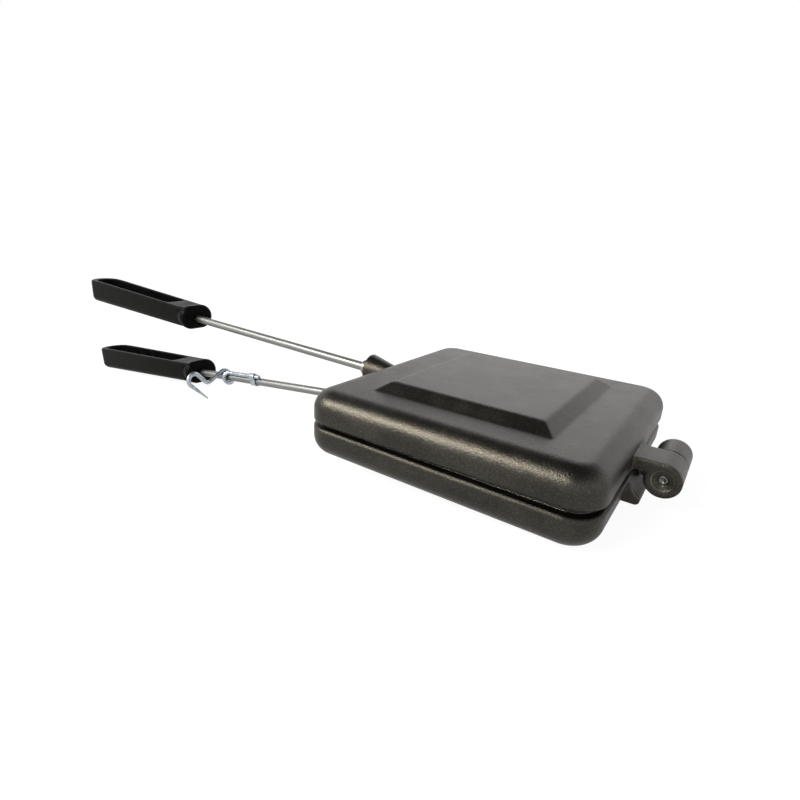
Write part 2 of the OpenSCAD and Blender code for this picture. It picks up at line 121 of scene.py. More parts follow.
def slotOutline(ends, radii, arcSteps, sideSteps):
    # Outline in plan of a slot whose two ends are round: the far end's arc, one side, the near
    # end's arc and the other side. Every point is middle + radius * normal, where the middle
    # and the radius slide from the far end's to the near end's along the sides.
    lean = math.asin((radii[0] - radii[1]) / (ends[0] - ends[1]))
    farArc = np.linspace(-math.pi / 2 - lean, math.pi / 2 + lean, arcSteps, endpoint=False)
    nearArc = np.linspace(math.pi / 2 + lean, 1.5 * math.pi - lean, arcSteps, endpoint=False)
    slide = np.linspace(0, 1, sideSteps, endpoint=False)
    angle = np.concatenate([farArc, np.full(sideSteps, -farArc[0]), nearArc, np.full(sideSteps, farArc[0])])
    share = np.concatenate([np.zeros(arcSteps), slide, np.ones(arcSteps), 1 - slide])
    middle = ends[0] + (ends[1] - ends[0]) * share
    radius = radii[0] + (radii[1] - radii[0]) * share
    return middle, radius, np.stack([np.cos(angle), np.sin(angle)], -1)


def squaredOutline(far, farRadius, near, cornerSide, cornerRadius, arcSteps, sideSteps):
    # A slot whose far end is round and whose near end is straight across, with two corners of
    # their own radius at cornerSide on either side. Same order and number of points as slotOutline.
    reach = np.array([far - near, -cornerSide])
    lean = math.asin((farRadius - cornerRadius) / np.linalg.norm(reach)) + math.atan2(reach[1], reach[0])
    farArc = np.linspace(-math.pi / 2 - lean, math.pi / 2 + lean, arcSteps, endpoint=False)
    half = arcSteps // 2
    firstCorner = np.linspace(math.pi / 2 + lean, math.pi, half, endpoint=False)
    lastCorner = np.linspace(math.pi, 1.5 * math.pi - lean, arcSteps - half, endpoint=False)
    slide = np.linspace(0, 1, sideSteps, endpoint=False)
    angle = np.concatenate([farArc, np.full(sideSteps, -farArc[0]), firstCorner, lastCorner,
                            np.full(sideSteps, farArc[0])])
    share = np.concatenate([np.zeros(arcSteps), slide, np.ones(arcSteps), 1 - slide])
    side = np.concatenate([np.zeros(arcSteps), slide, np.ones(half), -np.ones(arcSteps - half), slide - 1])
    middle = np.stack([far + (near - far) * share, cornerSide * side], -1)
    radius = farRadius + (cornerRadius - farRadius) * share
    return middle, radius, np.stack([np.cos(angle), np.sin(angle)], -1)


def offsetOutline(outline, distance):
    # The same outline, moved outwards by a distance
    middle, radius, normal = outline
    plan = (radius + distance)[:, None] * normal
    if middle.ndim == 1:
        plan[:, 0] += middle
    else:
        plan += middle
    return plan


def eased(t):
    # Smooth step from 0 to 1: three t squared minus two t cubed
    t = np.clip(t, 0, 1)
    return t * t * (3 - 2 * t)


# Both grips come from one mould
gripSettings = {
    "rodInGrip": 22 * mm, "length": 135 * mm,
    "nearWidth": 20 * mm, "farWidth": 22 * mm,
    "nearTop": 8 * mm, "farTop": 10.8 * mm, "low": 6.2 * mm,
    "topRound": 1.6 * mm, "lowRound": 4 * mm,
    "rim": 3 * mm, "troughStart": 26 * mm, "troughEnd": 6.5 * mm, "troughCorner": 2.4 * mm,
    "floor": 3 * mm,
    "holeWidth": 7 * mm, "holeLength": 17 * mm,
    "lipRound": 0.7 * mm, "floorRound": 1.4 * mm, "holeRound": 0.5 * mm,
    "skinStart": 1 * mm, "riseStart": 4 * mm, "riseLength": 111 * mm,
    "collarWidth": 24.4 * mm, "collarHeight": 16.6 * mm, "collarMid": 1.1 * mm,
    "collarLength": 15 * mm, "collarRound": 2.6 * mm, "collarFlat": 0.6 * mm,
    "neckWidth": 18 * mm, "neckHeight": 12 * mm,
    "socketRadius": 4 * mm, "socketDepth": 1.2 * mm, "socketRound": 0.4 * mm, "leastFlat": 0.01 * mm,
}


def gripBody(name, axes, g):
    # The grip as one skin without ends: round the plan (s) and round a closed profile (p) that
    # runs from the hanging hole over the trough's floor and wall, the rim, the outer side and
    # the underside, back to the hole.
    end = g["length"]
    holeR, farR, nearR = g["holeWidth"] / 2, g["farWidth"] / 2, g["nearWidth"] / 2
    troughR, troughCorner = farR - g["rim"], g["troughCorner"]
    troughFar = end - g["troughEnd"] - troughR
    outlines = {
        "hole": slotOutline((troughFar, troughFar - g["holeLength"] + 2 * holeR), (holeR, holeR), 36, 72),
        "trough": squaredOutline(troughFar, troughR, g["troughStart"] + troughCorner,
                                 nearR - g["rim"] - troughCorner, troughCorner, 36, 72),
        "outer": slotOutline((end - farR, nearR + g["skinStart"]), (farR, nearR), 36, 72),
    }
    floorZ = g["floor"] - g["low"]

    def arc(outline, offset, height, radius, start, stop, steps, onTop=0.0):
        # Quarter round of the profile about a middle at (offset, height)
        for a in np.radians(np.linspace(start, stop, steps)):
            yield (offsetOutline(outlines[outline], offset + radius * math.cos(a)),
                   height + radius * math.sin(a), onTop)

    def run(first, last, steps):
        # Straight stretch of the profile between two stations, without its ends
        for t in np.linspace(0, 1, steps + 2)[1:-1]:
            yield tuple(a * (1 - t) + b * t for a, b in zip(first, last))

    holeBottom = list(arc("hole", g["holeRound"], g["holeRound"] - g["low"], g["holeRound"], 270, 180, 5))
    holeTop = list(arc("hole", g["holeRound"], floorZ - g["holeRound"], g["holeRound"], 180, 90, 5))
    floorEdge = list(arc("trough", -g["floorRound"], floorZ + g["floorRound"], g["floorRound"], -90, 0, 7))
    lip = list(arc("trough", g["lipRound"], -g["lipRound"], g["lipRound"], 180, 90, 7, 1.0))
    shoulder = list(arc("outer", -g["topRound"], -g["topRound"], g["topRound"], 90, 0, 9, 1.0))
    heel = list(arc("outer", -g["lowRound"], g["lowRound"] - g["low"], g["lowRound"], 0, -90, 11))
    corners = [holeBottom, holeTop, floorEdge, lip, shoulder, heel]
    steps = [2, 6, 5, 2, 8, 8]
    stations = []
    for k, corner in enumerate(corners):
        stations += corner + list(run(corner[-1], corners[(k + 1) % len(corners)][0], steps[k]))

    plan = np.stack([s[0] for s in stations], 1)
    height = np.array([s[1] for s in stations])
    onTop = np.array([s[2] for s in stations])
    rise = np.clip((plan[..., 0] - g["riseStart"]) / g["riseLength"], 0, 1)
    top = g["nearTop"] + (g["farTop"] - g["nearTop"]) * rise
    grid = np.concatenate([plan, (height + onTop * top)[..., None]], -1)
    return meshPiece(name, placed(axes, grid), True, True)


def gripCollar(name, axes, g):
    # Flared collar as rings along the rod: a socket round the rod, a flat face, a rounded lip
    # and a waist that eases down into the grip. A ring is a slot outline of half width w and
    # half height h round (rod axis + mid).
    halfW, halfH, edge = g["collarWidth"] / 2, g["collarHeight"] / 2, g["collarRound"]
    socketR, depth, small = g["socketRadius"], g["socketDepth"], g["socketRound"]
    rings = [(depth, socketR * share, socketR * share, 0.0) for share in (0.3, 0.65, 1.0)]
    for a in np.radians(np.linspace(0, 90, 5)):
        rings.append((small * (1 - math.sin(a)), socketR + small * (1 - math.cos(a)),
                      socketR + small * (1 - math.cos(a)), 0.0))
    faceStart = rings[-1]
    faceEnd = (0.0, halfW - edge, halfH - edge, g["collarMid"])
    for t in np.linspace(0, 1, 7)[1:-1]:
        rings.append(tuple(a * (1 - t) + b * t for a, b in zip(faceStart, faceEnd)))
    for a in np.radians(np.linspace(0, 90, 8)):
        rings.append((edge * (1 - math.cos(a)), halfW - edge * (1 - math.sin(a)),
                      halfH - edge * (1 - math.sin(a)), g["collarMid"]))
    waistStart = edge + g["collarFlat"]
    for u in np.linspace(waistStart, g["collarLength"], 16):
        t = eased((u - waistStart) / (g["collarLength"] - waistStart))
        rings.append((u, halfW + (g["neckWidth"] / 2 - halfW) * t,
                      halfH + (g["neckHeight"] / 2 - halfH) * t, g["collarMid"]))
    grids = []
    for u, w, h, mid in rings:
        flatHalf = max(w - h, g["leastFlat"])
        plan = offsetOutline(slotOutline((flatHalf, -flatHalf), (h, h), 24, 6), 0)
        grids.append(np.concatenate([np.full((len(plan), 1), u), plan + [0, mid]], -1))
    return meshPiece(name, placed(axes, np.stack(grids)), False, True)


def joined(piece, other):
    # The two closed forms as one skin
    union = piece.modifiers.new("collar", "BOOLEAN")
    union.operation = "UNION"
    union.solver = "EXACT"
    union.object = other
    bpy.context.view_layer.update()
    shape = bpy.data.meshes.new_from_object(piece.evaluated_get(bpy.context.evaluated_depsgraph_get()))
    piece.modifiers.clear()
    piece.data = shape
    bpy.data.objects.remove(other)
    shape.shade_smooth()
    shape.set_sharp_from_angle(angle=math.radians(40))
    return piece


def makeGrip(name, nodeName, rodName, body):
    axes = rodAxes(rodName, gripSettings["rodInGrip"])
    grip = joined(gripBody(name, axes, gripSettings), gripCollar(name + "Collar", axes, gripSettings))
    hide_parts(nodeName)
    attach(grip, body)
    return grip


upperGrip = makeGrip("mouldedUpperGrip", "upper_grip", "upper_rod", "upper_half")
lowerGrip = makeGrip("mouldedLowerGrip", "lower_grip", "lower_rod", "lower_half")
print("grips:", len(upperGrip.data.polygons), "faces each")


# Wire latch on the lower rod. Angles go round the rod from straight up, towards -Y, in degrees.
latchSettings = {
    "hookBehindGrip": 24.5 * mm, "rodRadius": 2.5 * mm, "wireRadius": 1.4 * mm, "wireGap": 0.3 * mm,
    "shank": 40 * mm, "shankSide": 28, "wrapLength": 10 * mm,
    "turnPoints": ((106, 0.58), (262, 0.36)), "turnHandles": ((28, 0.48), (185, 0.72), (318, 0.09)),
    "hookFall": 26.5, "hookReach": 23.8 * mm, "hookLift": 2 * mm, "hookRadius": 4.4 * mm,
    "hookRise": 50, "valleyRadius": 3.4 * mm, "tailFall": 47, "tailLean": 6,
    "tailLength": 15.1 * mm, "tipRadius": 0.55 * mm,
    "bandIn": 3.5 * mm, "bandWidth": 5 * mm, "bandThickness": 0.8 * mm, "bandRun": 0.06 * mm,
    "bandGrip": 0.02 * mm,
    "bandEdge": 0.3 * mm, "bandPinch": 0.45 * mm,
}


def curveThrough(first, handle, last, steps):
    # Quadratic bend between two points, pulled towards a third
    t = np.linspace(0, 1, steps, endpoint=False)[:, None]
    return (1 - t) ** 2 * np.array(first) + 2 * t * (1 - t) * np.array(handle) + t * t * np.array(last)


def latchPath(w):
    # The wire's middle line in the rod's axes: along the rod, once round it in a winding, then
    # the hook in a plane square to the rod (down a leg, round the valley, up a leg, round the
    # pocket) and the straight tail. The winding is angle round the rod against distance along.
    wireAt = w["rodRadius"] + w["wireGap"] + w["wireRadius"]
    hookAt = -w["hookBehindGrip"]
    side, pitch = w["shankSide"], w["wrapLength"]
    start = np.array([[side, hookAt - w["shank"]]])
    turn = [side, hookAt - pitch]
    straight = start + (np.array([turn]) - start) * np.linspace(0, 1, 12, endpoint=False)[:, None]
    firstPoint, secondPoint = ([angle, hookAt - share * pitch] for angle, share in w["turnPoints"])
    handles = [[angle, hookAt - share * pitch] for angle, share in w["turnHandles"]]
    winding = np.concatenate([
        straight,
        curveThrough(turn, handles[0], firstPoint, 24),
        curveThrough(firstPoint, handles[1], secondPoint, 36),
        curveThrough(secondPoint, handles[2], [360, hookAt], 24),
        np.stack([np.linspace(360, 360 + w["hookFall"], 8), np.full(8, hookAt)], -1)])
    around = np.radians(winding[:, 0])
    onRod = np.stack([winding[:, 1], wireAt * np.sin(around), wireAt * np.cos(around)], -1)

    fall, rise = math.radians(w["hookFall"]), math.radians(w["hookRise"])
    pocket = np.array([w["hookReach"], w["hookLift"]])
    legStart = wireAt * np.array([math.sin(fall), math.cos(fall)])
    riseEnd = pocket + w["hookRadius"] * np.array([-math.sin(rise), math.cos(rise)])
    normals = np.array([[math.sin(fall), math.cos(fall)], [-math.sin(rise), math.cos(rise)]])
    reach = np.array([legStart @ normals[0], riseEnd @ normals[1]]) + w["valleyRadius"]
    valley = np.linalg.solve(normals, reach)

    def arc(middle, radius, start, stop, steps):
        a = np.radians(np.linspace(start, stop, steps))
        return np.stack([np.full(steps, hookAt), middle[0] + radius * np.cos(a),
                         middle[1] + radius * np.sin(a)], -1)

    hook = np.concatenate([
        arc(valley, w["valleyRadius"], 270 - w["hookFall"], 270 + w["hookRise"], 20),
        arc(pocket, w["hookRadius"], 90 + w["hookRise"], w["tailFall"] - 90, 40)])
    down, lean = math.radians(w["tailFall"]), math.radians(w["tailLean"])
    tailWay = np.array([-math.sin(lean), -math.cos(lean) * math.cos(down), -math.cos(lean) * math.sin(down)])
    run = np.linspace(0, w["tailLength"], 25)[1:, None]
    tail = hook[-1] + tailWay * run
    path = np.concatenate([onRod, hook, tail])
    radii = np.full(len(path), w["wireRadius"])
    radii[-len(tail):] = np.linspace(w["wireRadius"], w["tipRadius"], len(tail))
    lineUp = np.concatenate([np.stack([around * 0, np.sin(around), np.cos(around)], -1),
                             np.repeat([[1.0, 0.0, 0.0]], len(hook) + len(tail), 0)])
    lastBend = w["turnPoints"][1][0]
    late = eased((np.degrees(around) - lastBend) / (360 - lastBend))[:, None]
    lineUp[:len(around)] = lineUp[:len(around)] * (1 - late) + np.array([1.0, 0.0, 0.0]) * late
    return path, radii, lineUp


def unit(v):
    return v / np.linalg.norm(v, axis=-1, keepdims=True)


def tubeGrid(path, radii, lineUp, sides, endRound=1.0):
    # Round tube: each ring is middle + radius * (cos a * n + sin a * m), where n is the given
    # direction made square to the path and m is square to both. Its ends are rounded over.
    heading = unit(np.gradient(path, axis=0))
    cap = np.radians(np.linspace(80, 0, 6, endpoint=False))
    first = path[0] - heading[0] * radii[0] * endRound * np.sin(cap)[:, None]
    last = path[-1] + heading[-1] * radii[-1] * endRound * np.sin(cap[::-1])[:, None]
    path = np.concatenate([first, path, last])
    radii = np.concatenate([radii[0] * np.cos(cap), radii, radii[-1] * np.cos(cap[::-1])])
    heading = np.concatenate([np.repeat(heading[:1], 6, 0), heading, np.repeat(heading[-1:], 6, 0)])
    lineUp = np.concatenate([np.repeat(lineUp[:1], 6, 0), lineUp, np.repeat(lineUp[-1:], 6, 0)])
    n = unit(lineUp - heading * np.sum(lineUp * heading, -1, keepdims=True))
    m = np.cross(heading, n)
    a = np.linspace(0, 2 * math.pi, sides, endpoint=False)[None, :, None]
    return path[:, None] + radii[:, None, None] * (np.cos(a) * n[:, None] + np.sin(a) * m[:, None])


def bandGrid(w):
    # Strip of metal wrapped round the rod and the wire: the outline is the slot round both
    # circles, the profile is a thin rectangle with rounded corners, and the sides between the
    # two circles are pinched in.
    wireAt = w["rodRadius"] + w["wireGap"] + w["wireRadius"]
    rodR, wireR = w["rodRadius"] + w["bandRun"], w["wireRadius"] + w["bandGrip"]
    outline = slotOutline((wireAt, 0.0), (wireR, rodR), 40, 16)
    halfW, thick, edge = w["bandWidth"] / 2, w["bandThickness"], w["bandEdge"]
    middleX = -w["hookBehindGrip"] - w["shank"] + w["bandIn"] + halfW
    corner = np.radians(np.linspace(0, 90, 5))
    across, along = [], []
    for turn, (sx, sy) in enumerate([(1, 1), (-1, 1), (-1, -1), (1, -1)]):
        a = corner + turn * math.pi / 2
        along.append(sx * (halfW - edge) + edge * np.cos(a))
        across.append(thick / 2 + sy * (thick / 2 - edge) + edge * np.sin(a))
    along, across = np.concatenate(along), np.concatenate(across)
    share = (outline[0] - wireAt) / -wireAt
    pinch = w["bandPinch"] * np.sin(np.pi * share) ** 2
    plan = np.stack([offsetOutline(outline, offset) for offset in across], 1)
    plan -= pinch[:, None, None] * outline[2][:, None, :]
    towards = math.radians(w["shankSide"])
    y = plan[..., 0] * math.sin(towards) - plan[..., 1] * math.cos(towards)
    z = plan[..., 0] * math.cos(towards) + plan[..., 1] * math.sin(towards)
    x = np.broadcast_to(middleX + along, y.shape)
    return np.stack([x, y, z], -1)


lowerAxes = rodAxes("lower_rod", gripSettings["rodInGrip"])
wirePath, wireRadii, wireUp = latchPath(latchSettings)
latchWire = meshPiece("bentLatchWire", placed(lowerAxes, tubeGrid(wirePath, wireRadii, wireUp, 20, 0.6)),
                      False, True)
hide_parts("latch_wire")
latchBand = meshPiece("crimpedLatchBand", placed(lowerAxes, bandGrid(latchSettings)), True, True)
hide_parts("latch_band")
for piece in (latchWire, latchBand):
    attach(piece, "latch")
print("latch:", len(latchWire.data.polygons), "faces in the wire")


pinSettings = {
    "radius": 2 * mm, "chamfer": 0.35 * mm, "dimpleRadius": 1.1 * mm, "dimpleDepth": 0.5 * mm,
    "dimpleLip": 0.15 * mm, "edgeFall": 0.06 * mm,
}


def makePin(p):
    # A bar turned round the hinge's axis: radius against distance along it, with chamfered
    # ends and a punched dimple in each face
    low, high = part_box("hinge_pin")
    middle = (low + high) / 2
    half = (high.y - low.y) / 2
    dimple = np.linspace(0.15, 1, 7)
    endRadius = np.concatenate([
        p["dimpleRadius"] * dimple,
        [p["dimpleRadius"] + p["dimpleLip"], p["radius"] - p["chamfer"] * 1.4,
         p["radius"] - p["chamfer"], p["radius"] - p["chamfer"] * 0.3, p["radius"]]])
    endAt = np.concatenate([
        half - p["dimpleDepth"] * (1 - dimple ** 2),
        [half, half, half - p["edgeFall"], half - p["chamfer"] * 0.5, half - p["chamfer"]]])
    radius = np.concatenate([endRadius, endRadius[::-1]])
    at = np.concatenate([endAt, -endAt[::-1]])
    a = np.linspace(0, 2 * math.pi, 48, endpoint=False)
    grid = np.stack([middle.x + radius[:, None] * np.cos(a), middle.y + at[:, None] + 0 * a,
                     middle.z + radius[:, None] * np.sin(a)], -1)
    return meshPiece("punchedHingePin", grid, False, True, 35)


hingePin = makePin(pinSettings)
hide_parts("hinge_pin")
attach(hingePin, "lower_half")
print("pin done")


def addNode(tree, kind, inputs=None, **settings):
    # A node with its settings and inputs: an input is a value, or a socket to link from
    made = tree.nodes.new(kind)
    for key, value in settings.items():
        setattr(made, key, value)
    for key, value in (inputs or {}).items():
        if isinstance(value, bpy.types.NodeSocket):
            tree.links.new(value, made.inputs[key])
        else:
            made.inputs[key].default_value = value
    return made


def newGroup(name, inputs, outputs):
    group = bpy.data.node_groups.new(name, "ShaderNodeTree")
    for socketName, kind, value in inputs:
        socket = group.interface.new_socket(socketName, in_out="INPUT", socket_type=kind)
        if value is not None:
            socket.default_value = value
    for socketName, kind in outputs:
        group.interface.new_socket(socketName, in_out="OUTPUT", socket_type=kind)
    return group, group.nodes.new("NodeGroupInput"), group.nodes.new("NodeGroupOutput")


def ramp(tree, factor, stops):
    made = addNode(tree, "ShaderNodeValToRGB", {"Fac": factor})
    elements = made.color_ramp.elements
    while len(elements) < len(stops):
        elements.new(0.5)
    for element, (position, colour) in zip(elements, stops):
        element.position = position
        element.color = (*colour, 1) if len(colour) == 3 else colour
    return made.outputs["Color"]


def spread(tree, value, low, high, toLow=0.0, toHigh=1.0):
    made = addNode(tree, "ShaderNodeMapRange", {"Value": value, "From Min": low, "From Max": high,
                                               "To Min": toLow, "To Max": toHigh})
    return made.outputs["Result"]


def mixColour(tree, factor, first, second, blend="MIX"):
    made = addNode(tree, "ShaderNodeMix", data_type="RGBA", blend_type=blend)
    for index, value in ((0, factor), (6, first), (7, second)):
        if isinstance(value, bpy.types.NodeSocket):
            tree.links.new(value, made.inputs[index])
        else:
            made.inputs[index].default_value = value if index == 0 else (*value, 1)
    return made.outputs[2]


def maths(tree, operation, first, second):
    made = addNode(tree, "ShaderNodeMath", {0: first, 1: second}, operation=operation)
    return made.outputs[0]


def makeCastGrain():
    # Skin of a sand casting: fine grain, scattered pits and slow swells, as one height, and a
    # slow tone for colour. Size is the grain's, in metres.
    group, source, result = newGroup(
        "castGrain",
        [("Vector", "NodeSocketVector", None), ("Grain size", "NodeSocketFloat", 1 * mm)],
        [("Height", "NodeSocketFloat"), ("Grain", "NodeSocketFloat"), ("Tone", "NodeSocketFloat"),
         ("Pits", "NodeSocketFloat")])
    frequency = maths(group, "DIVIDE", 1.0, source.outputs["Grain size"])
    fine = addNode(group, "ShaderNodeTexNoise", {"Vector": source.outputs["Vector"], "Scale": frequency,
                                                 "Detail": 4.0, "Roughness": 0.62})
    pitScale = maths(group, "MULTIPLY", frequency, 0.55)
    pits = addNode(group, "ShaderNodeTexVoronoi", {"Vector": source.outputs["Vector"], "Scale": pitScale,
                                                   "Randomness": 1.0})
    pitDepth = spread(group, pits.outputs["Distance"], 0.0, 0.32, 1.0, 0.0)
    rare = addNode(group, "ShaderNodeTexNoise", {"Vector": source.outputs["Vector"],
                                                 "Scale": maths(group, "MULTIPLY", frequency, 0.16),
                                                 "Detail": 2.0})
    pitMask = maths(group, "MULTIPLY", pitDepth, spread(group, rare.outputs["Fac"], 0.52, 0.68))
    swell = addNode(group, "ShaderNodeTexNoise", {"Vector": source.outputs["Vector"],
                                                  "Scale": maths(group, "MULTIPLY", frequency, 0.07),
                                                  "Detail": 3.0})
    height = maths(group, "SUBTRACT", fine.outputs["Fac"], maths(group, "MULTIPLY", pitMask, 0.5))
    height = maths(group, "ADD", height, maths(group, "MULTIPLY", swell.outputs["Fac"], 1.1))
    group.links.new(height, result.inputs["Height"])
    group.links.new(fine.outputs["Fac"], result.inputs["Grain"])
    group.links.new(swell.outputs["Fac"], result.inputs["Tone"])
    group.links.new(pitMask, result.inputs["Pits"])
    return group


def makeEdgeWear():
    # Where the surface bends: the normal rounded over a radius, set against the true normal,
    # broken up by noise
    group, source, result = newGroup(
        "edgeBend",
        [("Vector", "NodeSocketVector", None), ("Radius", "NodeSocketFloat", 0.5 * mm),
         ("Break up", "NodeSocketFloat", 400.0), ("Least", "NodeSocketFloat", 0.02),
         ("Most", "NodeSocketFloat", 0.2)],
        [("Mask", "NodeSocketFloat")])
    rounded = addNode(group, "ShaderNodeBevel", {"Radius": source.outputs["Radius"]}, samples=6)
    trueNormal = addNode(group, "ShaderNodeNewGeometry")
    facing = addNode(group, "ShaderNodeVectorMath", operation="DOT_PRODUCT")
    group.links.new(rounded.outputs["Normal"], facing.inputs[0])
    group.links.new(trueNormal.outputs["Normal"], facing.inputs[1])
    bend = maths(group, "SUBTRACT", 1.0, facing.outputs["Value"])
    noise = addNode(group, "ShaderNodeTexNoise", {"Vector": source.outputs["Vector"],
                                                  "Scale": source.outputs["Break up"], "Detail": 3.0})
    broken = maths(group, "MULTIPLY", bend, spread(group, noise.outputs["Fac"], 0.3, 0.7, 0.25, 1.5))
    mask = addNode(group, "ShaderNodeMapRange", {"Value": broken, "From Min": source.outputs["Least"],
                                                 "From Max": source.outputs["Most"]})
    group.links.new(mask.outputs["Result"], result.inputs["Mask"])
    return group


def makeDrawnLines():
    # Lines that drawing a bar leaves along it: noise stretched along X of its vector
    group, source, result = newGroup(
        "drawnLines",
        [("Vector", "NodeSocketVector", None), ("Line width", "NodeSocketFloat", 0.3 * mm)],
        [("Height", "NodeSocketFloat"), ("Tone", "NodeSocketFloat")])
    frequency = maths(group, "DIVIDE", 1.0, source.outputs["Line width"])
    stretched = addNode(group, "ShaderNodeVectorMath", {0: source.outputs["Vector"], 1: (0.012, 1, 1)},
                        operation="MULTIPLY")
    lines = addNode(group, "ShaderNodeTexNoise", {"Vector": stretched.outputs["Vector"], "Scale": frequency,
                                                  "Detail": 3.0, "Roughness": 0.6})
    patches = addNode(group, "ShaderNodeTexNoise", {"Vector": source.outputs["Vector"],
                                                    "Scale": maths(group, "MULTIPLY", frequency, 0.05),
                                                    "Detail": 2.0})
    group.links.new(lines.outputs["Fac"], result.inputs["Height"])
    group.links.new(patches.outputs["Fac"], result.inputs["Tone"])
    return group


castGrain = makeCastGrain()
edgeBend = makeEdgeWear()
drawnLines = makeDrawnLines()


def newMaterial(name):
    material = bpy.data.materials.new(name)
    material.use_nodes = True
    tree = material.node_tree
    shader = tree.nodes["Principled BSDF"]
    place = addNode(tree, "ShaderNodeTexCoord").outputs["Object"]
    return material, tree, shader, place


def setSockets(shader, **values):
    # Values that are the same all over, straight on the shader's own sockets
    for key, value in values.items():
        shader.inputs[key].default_value = (*value, 1) if isinstance(value, tuple) else value


def bumped(tree, shader, height, distance, strength=1.0, normal=None):
    bump = addNode(tree, "ShaderNodeBump", {"Height": height, "Distance": distance, "Strength": strength})
    if normal:
        tree.links.new(normal, bump.inputs["Normal"])
    tree.links.new(bump.outputs["Normal"], shader.inputs["Normal"])


def aimed(tree, place, axes):
    # The vector turned so that its X runs along a rod, with its origin on the rod's line
    pitch = math.atan2(axes["out"][2], -axes["out"][0])
    moved = addNode(tree, "ShaderNodeVectorMath", {0: place, 1: tuple(axes["origin"])}, operation="SUBTRACT")
    return addNode(tree, "ShaderNodeMapping", {"Vector": moved.outputs["Vector"],
                                               "Rotation": (0, -pitch, 0)}).outputs["Vector"]


castLook = {
    "tint": (0.060, 0.056, 0.050), "tintSwing": 0.1, "pitColour": (0.02, 0.018, 0.016), "pitShare": 0.6,
    "speckStops": [(0.36, (0.78, 0.78, 0.78)), (0.54, (1, 1, 1)), (0.70, (1.5, 1.46, 1.36))],
    # edge colour of the casting: partly worn metal, partly a painted highlight along the edges
    "edgeColour": (0.30, 0.275, 0.22), "edgeRadius": 0.5 * mm, "edgeBreakUp": 160.0, "edgeLeast": 0.04,
    "grainSize": 0.8 * mm, "grainDepth": 0.2 * mm, "grainStrength": 0.6, "creaseRadius": 2.4 * mm,
    "roughness": (0.30, 0.38), "wornShine": 0.08,
}


def makeCastMetal(name, look):
    # Dark seasoned casting: grainy satin metal whose creases are soft, with edges rubbed bright
    # in places; that lighter, warmer edge colour is partly wear and partly a painted highlight
    material, tree, shader, place = newMaterial(name)
    grain = addNode(tree, "ShaderNodeGroup", node_tree=castGrain)
    grain.inputs["Grain size"].default_value = look["grainSize"]
    tree.links.new(place, grain.inputs["Vector"])
    edgeMask = addNode(tree, "ShaderNodeGroup", node_tree=edgeBend)
    edgeMask.inputs["Radius"].default_value = look["edgeRadius"]
    edgeMask.inputs["Break up"].default_value = look["edgeBreakUp"]
    edgeMask.inputs["Least"].default_value = look["edgeLeast"]
    tree.links.new(place, edgeMask.inputs["Vector"])
    darker, lighter = (tuple(c * (1 + swing) for c in look["tint"])
                       for swing in (-look["tintSwing"], look["tintSwing"]))
    base = ramp(tree, grain.outputs["Tone"], [(0.35, darker), (0.65, lighter)])
    specks = ramp(tree, grain.outputs["Grain"], look["speckStops"])
    speckled = mixColour(tree, 1.0, base, specks, "MULTIPLY")
    pitMask = spread(tree, grain.outputs["Pits"], 0, 1, 0, look["pitShare"])
    pitted = mixColour(tree, pitMask, speckled, look["pitColour"])
    # Lighter, warmer colour along every edge: partly rubbed wear, partly a painted edge highlight
    edgeColoured = mixColour(tree, edgeMask.outputs["Mask"], pitted, look["edgeColour"])
    tree.links.new(edgeColoured, shader.inputs["Base Color"])
    rough = spread(tree, grain.outputs["Tone"], 0.3, 0.7, *look["roughness"])
    shine = maths(tree, "MULTIPLY", edgeMask.outputs["Mask"], look["wornShine"])
    tree.links.new(maths(tree, "SUBTRACT", rough, shine), shader.inputs["Roughness"])
    setSockets(shader, Metallic=1.0)
    softened = addNode(tree, "ShaderNodeBevel", {"Radius": look["creaseRadius"]}, samples=6)
    bumped(tree, shader, grain.outputs["Height"], look["grainDepth"], look["grainStrength"],
           softened.outputs["Normal"])
    return material


rodLook = {
    "colour": (0.27, 0.275, 0.28), "shades": (0.8, 1.1), "roughness": (0.36, 0.50),
    "lineWidth": 0.5 * mm, "lineDepth": 0.006 * mm, "lineStrength": 0.5,
}


def makeDrawnSteel(name, look, axes):
    # Plated bar with faint lines along it
    material, tree, shader, place = newMaterial(name)
    lines = addNode(tree, "ShaderNodeGroup", node_tree=drawnLines)
    lines.inputs["Line width"].default_value = look["lineWidth"]
    tree.links.new(aimed(tree, place, axes), lines.inputs["Vector"])
    darker, lighter = (tuple(c * share for c in look["colour"]) for share in look["shades"])
    tree.links.new(ramp(tree, lines.outputs["Height"], [(0.3, darker), (0.62, lighter)]),
                   shader.inputs["Base Color"])
    tree.links.new(spread(tree, lines.outputs["Tone"], 0.3, 0.7, *look["roughness"]),
                   shader.inputs["Roughness"])
    setSockets(shader, Metallic=1.0)
    bumped(tree, shader, lines.outputs["Height"], look["lineDepth"], look["lineStrength"])
    return material


nutLook = {
    "darker": (0.24, 0.235, 0.22), "lighter": (0.36, 0.35, 0.33), "edgeColour": (0.5, 0.48, 0.45),
    "edgeRadius": 0.4 * mm, "grainSize": 0.5 * mm, "grainDepth": 0.04 * mm, "grainStrength": 0.4,
    "roughness": (0.28, 0.42),
}


